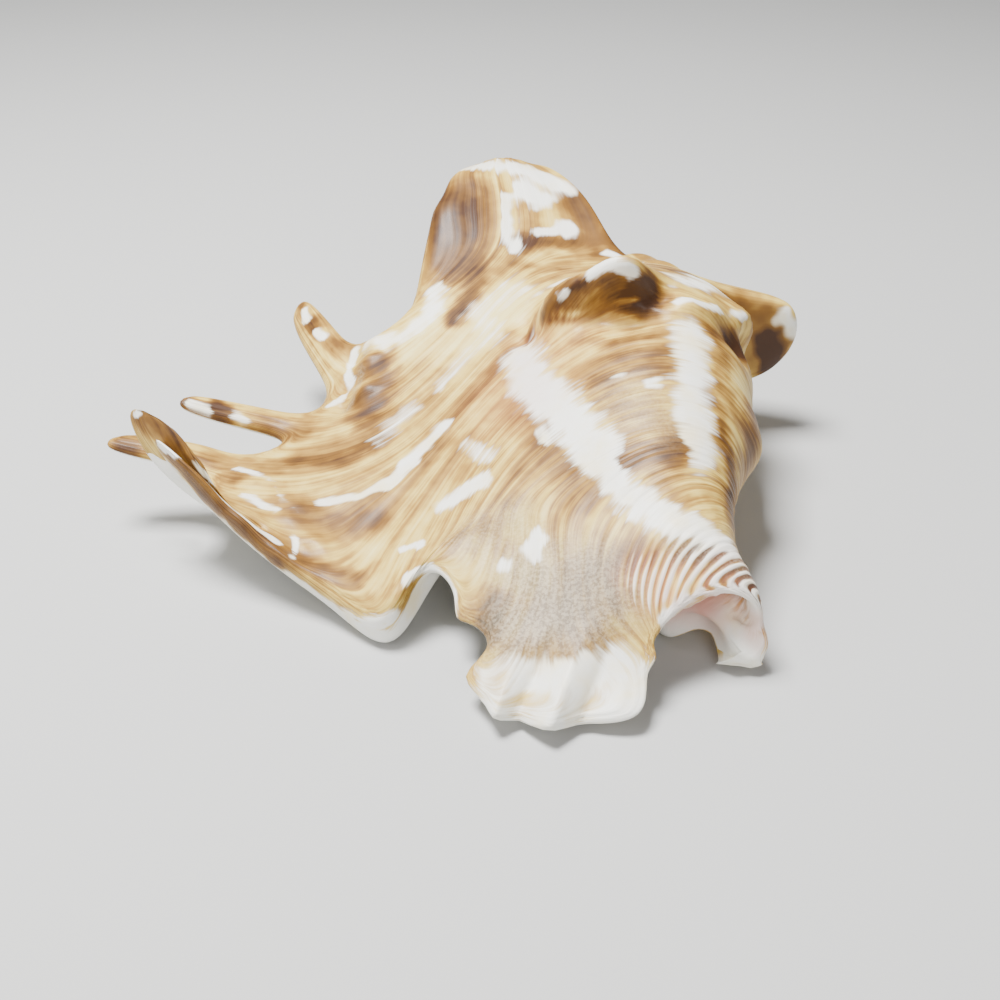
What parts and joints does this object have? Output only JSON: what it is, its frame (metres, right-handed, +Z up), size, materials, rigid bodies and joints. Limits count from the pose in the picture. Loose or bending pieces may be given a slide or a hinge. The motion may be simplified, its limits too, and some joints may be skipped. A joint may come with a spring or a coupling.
{
  "type": "spider conch shell",
  "caption": "Natural spider conch seashell lying on its opening: a knobbed whorl, a flared lip drawn out into long fingers, a notch and a short canal.",
  "frame": {"origin": "centre of the bottom of the bounding box, on the surface that the shell lies on", "axes": "+Z up, +Y towards the spire at the posterior end, -Y towards the canal at the anterior end, -X towards the fingers of the flared lip"},
  "size_m": [0.1464, 0.1526, 0.0527],
  "materials": {
    "shell": "polished natural shell: cream and white with soft brown streaks, bands and flames"
  },
  "bodies": {
    "root": {"shell": "shell"}
  },
  "joints": []
}
